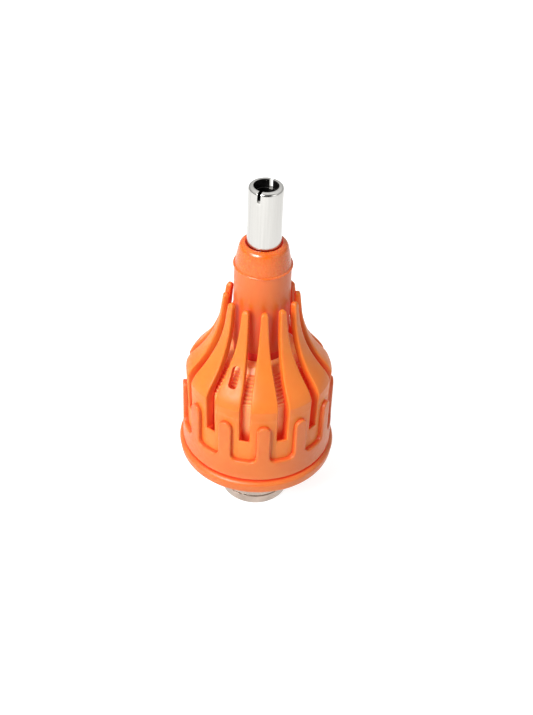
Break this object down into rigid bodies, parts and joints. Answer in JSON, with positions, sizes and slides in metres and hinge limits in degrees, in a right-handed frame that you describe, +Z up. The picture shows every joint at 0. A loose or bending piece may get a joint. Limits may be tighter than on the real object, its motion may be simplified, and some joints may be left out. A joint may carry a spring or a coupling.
{
  "type": "dust blower bulb",
  "caption": "Hand-squeezed dust blower: an orange rubber bulb in a cage of springy petals, with a slotted metal nozzle tube above and a filtered inlet valve in its metal foot.",
  "frame": {"origin": "centre of the metal foot's bottom face, which the tool stands on", "axes": "+Z up along the axis towards the nozzle; the window petal and the drive slots are left of the front, -Y"},
  "size_m": [0.049, 0.049, 0.1135],
  "materials": {
    "nozzle_metal": "polished, with fine drawn lines",
    "collar_orange": "satin moulded rubber",
    "neck_orange": "satin moulded rubber",
    "cage_orange": "matt moulded elastomer",
    "crown_orange": "matt moulded elastomer",
    "bulb_rubber": "soft satin rubber with fine ribs",
    "housing_steel": "turned, slightly dull",
    "brass": "turned",
    "black_rubber": "smooth seal rubber",
    "red_rubber": "smooth seal rubber",
    "grey_plastic": "moulded",
    "white_plastic": "moulded",
    "spring_steel": "drawn wire",
    "screen_steel": "perforated sheet"
  },
  "bodies": {
    "body": {"nozzle_socket": "brass", "nozzle_o_ring": "black_rubber", "nose_collar": "collar_orange", "neck_tube": "neck_orange", "neck_seal": "red_rubber", "mouth_ring": "grey_plastic", "bulb": "bulb_rubber", "bulb_clamp_ring": "grey_plastic", "cage_band": "cage_orange", "crown_ring": "crown_orange", "base_cup": "crown_orange", "valve_housing": "housing_steel", "housing_gasket": "black_rubber", "valve_nut": "brass", "filter_screen": "screen_steel", "filter_ring": "spring_steel", "valve_seat": "red_rubber", "valve_spring": "spring_steel", "spring_retainer": "white_plastic", "retaining_clip": "spring_steel"},
    "nozzle": {"nozzle_tube": "nozzle_metal"},
    "inlet_valve": {"valve_disc": "white_plastic"},
    "foot_01": {"petal_foot_01": "cage_orange"},
    "blade_01": {"petal_blade_01": "cage_orange"},
    "foot_02": {"petal_foot_02": "cage_orange"},
    "blade_02": {"petal_blade_02": "cage_orange"},
    "foot_03": {"petal_foot_03": "cage_orange"},
    "blade_03": {"petal_blade_03": "cage_orange"},
    "foot_04": {"petal_foot_04": "cage_orange"},
    "blade_04": {"petal_blade_04": "cage_orange"},
    "foot_05": {"petal_foot_05": "cage_orange"},
    "blade_05": {"petal_blade_05": "cage_orange"},
    "foot_06": {"petal_foot_06": "cage_orange"},
    "blade_06": {"petal_blade_06": "cage_orange"},
    "foot_07": {"petal_foot_07": "cage_orange"},
    "blade_07": {"petal_blade_07": "cage_orange"},
    "foot_08": {"petal_foot_08": "cage_orange"},
    "blade_08": {"petal_blade_08": "cage_orange"},
    "foot_09": {"petal_foot_09": "cage_orange"},
    "blade_09": {"petal_blade_09": "cage_orange"},
    "foot_10": {"petal_foot_10": "cage_orange"},
    "blade_10": {"petal_blade_10": "cage_orange"},
    "foot_11": {"petal_foot_11": "cage_orange"},
    "blade_11": {"petal_blade_11": "cage_orange"},
    "foot_12": {"petal_foot_12": "cage_orange"},
    "blade_12": {"petal_blade_12": "cage_orange"}
  },
  "joints": [
    {"name": "squeeze_01", "type": "hinge", "parent": "body", "child": "foot_01", "pos_m": [0.00206, -0.01899, 0.0376], "axis": [-0.9942, -0.108, 0], "range_deg": [0, 16], "stiffness_Nm_per_rad": 0.12, "deforming": ["bulb"]},
    {"name": "crease_01", "type": "hinge", "parent": "foot_01", "child": "blade_01", "pos_m": [0.00242, -0.02227, 0.0498], "axis": [-0.9942, -0.108, 0], "range_deg": [-21.2, 0], "stiffness_Nm_per_rad": 0.02},
    {"name": "squeeze_02", "type": "hinge", "parent": "body", "child": "foot_02", "pos_m": [0.01128, -0.01541, 0.0376], "axis": [-0.807, -0.5906, 0], "range_deg": [0, 16], "stiffness_Nm_per_rad": 0.12},
    {"name": "crease_02", "type": "hinge", "parent": "foot_02", "child": "blade_02", "pos_m": [0.01323, -0.01808, 0.0498], "axis": [-0.807, -0.5906, 0], "range_deg": [-21.2, 0], "stiffness_Nm_per_rad": 0.02},
    {"name": "squeeze_03", "type": "hinge", "parent": "body", "child": "foot_03", "pos_m": [0.01748, -0.00771, 0.0376], "axis": [-0.4035, -0.915, 0], "range_deg": [0, 16], "stiffness_Nm_per_rad": 0.12},
    {"name": "crease_03", "type": "hinge", "parent": "foot_03", "child": "blade_03", "pos_m": [0.0205, -0.00904, 0.0498], "axis": [-0.4035, -0.915, 0], "range_deg": [-21.2, 0], "stiffness_Nm_per_rad": 0.02},
    {"name": "squeeze_04", "type": "hinge", "parent": "body", "child": "foot_04", "pos_m": [0.01899, 0.00206, 0.0376], "axis": [0.108, -0.9942, 0], "range_deg": [0, 16], "stiffness_Nm_per_rad": 0.12},
    {"name": "crease_04", "type": "hinge", "parent": "foot_04", "child": "blade_04", "pos_m": [0.02227, 0.00242, 0.0498], "axis": [0.108, -0.9942, 0], "range_deg": [-21.2, 0], "stiffness_Nm_per_rad": 0.02},
    {"name": "squeeze_05", "type": "hinge", "parent": "body", "child": "foot_05", "pos_m": [0.01541, 0.01128, 0.0376], "axis": [0.5906, -0.807, 0], "range_deg": [0, 16], "stiffness_Nm_per_rad": 0.12},
    {"name": "crease_05", "type": "hinge", "parent": "foot_05", "child": "blade_05", "pos_m": [0.01808, 0.01323, 0.0498], "axis": [0.5906, -0.807, 0], "range_deg": [-21.2, 0], "stiffness_Nm_per_rad": 0.02},
    {"name": "squeeze_06", "type": "hinge", "parent": "body", "child": "foot_06", "pos_m": [0.00771, 0.01748, 0.0376], "axis": [0.915, -0.4035, 0], "range_deg": [0, 16], "stiffness_Nm_per_rad": 0.12},
    {"name": "crease_06", "type": "hinge", "parent": "foot_06", "child": "blade_06", "pos_m": [0.00904, 0.0205, 0.0498], "axis": [0.915, -0.4035, 0], "range_deg": [-21.2, 0], "stiffness_Nm_per_rad": 0.02},
    {"name": "squeeze_07", "type": "hinge", "parent": "body", "child": "foot_07", "pos_m": [-0.00206, 0.01899, 0.0376], "axis": [0.9942, 0.108, 0], "range_deg": [0, 16], "stiffness_Nm_per_rad": 0.12},
    {"name": "crease_07", "type": "hinge", "parent": "foot_07", "child": "blade_07", "pos_m": [-0.00242, 0.02227, 0.0498], "axis": [0.9942, 0.108, 0], "range_deg": [-21.2, 0], "stiffness_Nm_per_rad": 0.02},
    {"name": "squeeze_08", "type": "hinge", "parent": "body", "child": "foot_08", "pos_m": [-0.01128, 0.01541, 0.0376], "axis": [0.807, 0.5906, 0], "range_deg": [0, 16], "stiffness_Nm_per_rad": 0.12},
    {"name": "crease_08", "type": "hinge", "parent": "foot_08", "child": "blade_08", "pos_m": [-0.01323, 0.01808, 0.0498], "axis": [0.807, 0.5906, 0], "range_deg": [-21.2, 0], "stiffness_Nm_per_rad": 0.02},
    {"name": "squeeze_09", "type": "hinge", "parent": "body", "child": "foot_09", "pos_m": [-0.01748, 0.00771, 0.0376], "axis": [0.4035, 0.915, 0], "range_deg": [0, 16], "stiffness_Nm_per_rad": 0.12},
    {"name": "crease_09", "type": "hinge", "parent": "foot_09", "child": "blade_09", "pos_m": [-0.0205, 0.00904, 0.0498], "axis": [0.4035, 0.915, 0], "range_deg": [-21.2, 0], "stiffness_Nm_per_rad": 0.02},
    {"name": "squeeze_10", "type": "hinge", "parent": "body", "child": "foot_10", "pos_m": [-0.01899, -0.00206, 0.0376], "axis": [-0.108, 0.9942, 0], "range_deg": [0, 16], "stiffness_Nm_per_rad": 0.12},
    {"name": "crease_10", "type": "hinge", "parent": "foot_10", "child": "blade_10", "pos_m": [-0.02227, -0.00242, 0.0498], "axis": [-0.108, 0.9942, 0], "range_deg": [-21.2, 0], "stiffness_Nm_per_rad": 0.02},
    {"name": "squeeze_11", "type": "hinge", "parent": "body", "child": "foot_11", "pos_m": [-0.01541, -0.01128, 0.0376], "axis": [-0.5906, 0.807, 0], "range_deg": [0, 16], "stiffness_Nm_per_rad": 0.12},
    {"name": "crease_11", "type": "hinge", "parent": "foot_11", "child": "blade_11", "pos_m": [-0.01808, -0.01323, 0.0498], "axis": [-0.5906, 0.807, 0], "range_deg": [-21.2, 0], "stiffness_Nm_per_rad": 0.02},
    {"name": "squeeze_12", "type": "hinge", "parent": "body", "child": "foot_12", "pos_m": [-0.00771, -0.01748, 0.0376], "axis": [-0.915, 0.4035, 0], "range_deg": [0, 16], "stiffness_Nm_per_rad": 0.12},
    {"name": "crease_12", "type": "hinge", "parent": "foot_12", "child": "blade_12", "pos_m": [-0.00904, -0.0205, 0.0498], "axis": [-0.915, 0.4035, 0], "range_deg": [-21.2, 0], "stiffness_Nm_per_rad": 0.02},
    {"name": "nozzle_turn", "type": "hinge", "parent": "body", "child": "nozzle", "pos_m": [0, 0, 0.0953], "axis": [0, 0, 1], "continuous": true},
    {"name": "valve_lift", "type": "slide", "parent": "body", "child": "inlet_valve", "axis": [0, 0, 1], "range_m": [0, 0.0012], "stiffness_N_per_m": 40, "springref_m": -0.001, "deforming": ["valve_spring"]}
  ],
  "couplings": [
    {"joint": "crease_01", "follows": "squeeze_01", "ratio": -1.32},
    {"joint": "squeeze_02", "follows": "squeeze_01", "ratio": 1},
    {"joint": "crease_02", "follows": "squeeze_01", "ratio": -1.32},
    {"joint": "squeeze_03", "follows": "squeeze_01", "ratio": 1},
    {"joint": "crease_03", "follows": "squeeze_01", "ratio": -1.32},
    {"joint": "squeeze_04", "follows": "squeeze_01", "ratio": 1},
    {"joint": "crease_04", "follows": "squeeze_01", "ratio": -1.32},
    {"joint": "squeeze_05", "follows": "squeeze_01", "ratio": 1},
    {"joint": "crease_05", "follows": "squeeze_01", "ratio": -1.32},
    {"joint": "squeeze_06", "follows": "squeeze_01", "ratio": 1},
    {"joint": "crease_06", "follows": "squeeze_01", "ratio": -1.32},
    {"joint": "squeeze_07", "follows": "squeeze_01", "ratio": 1},
    {"joint": "crease_07", "follows": "squeeze_01", "ratio": -1.32},
    {"joint": "squeeze_08", "follows": "squeeze_01", "ratio": 1},
    {"joint": "crease_08", "follows": "squeeze_01", "ratio": -1.32},
    {"joint": "squeeze_09", "follows": "squeeze_01", "ratio": 1},
    {"joint": "crease_09", "follows": "squeeze_01", "ratio": -1.32},
    {"joint": "squeeze_10", "follows": "squeeze_01", "ratio": 1},
    {"joint": "crease_10", "follows": "squeeze_01", "ratio": -1.32},
    {"joint": "squeeze_11", "follows": "squeeze_01", "ratio": 1},
    {"joint": "crease_11", "follows": "squeeze_01", "ratio": -1.32},
    {"joint": "squeeze_12", "follows": "squeeze_01", "ratio": 1},
    {"joint": "crease_12", "follows": "squeeze_01", "ratio": -1.32}
  ]
}
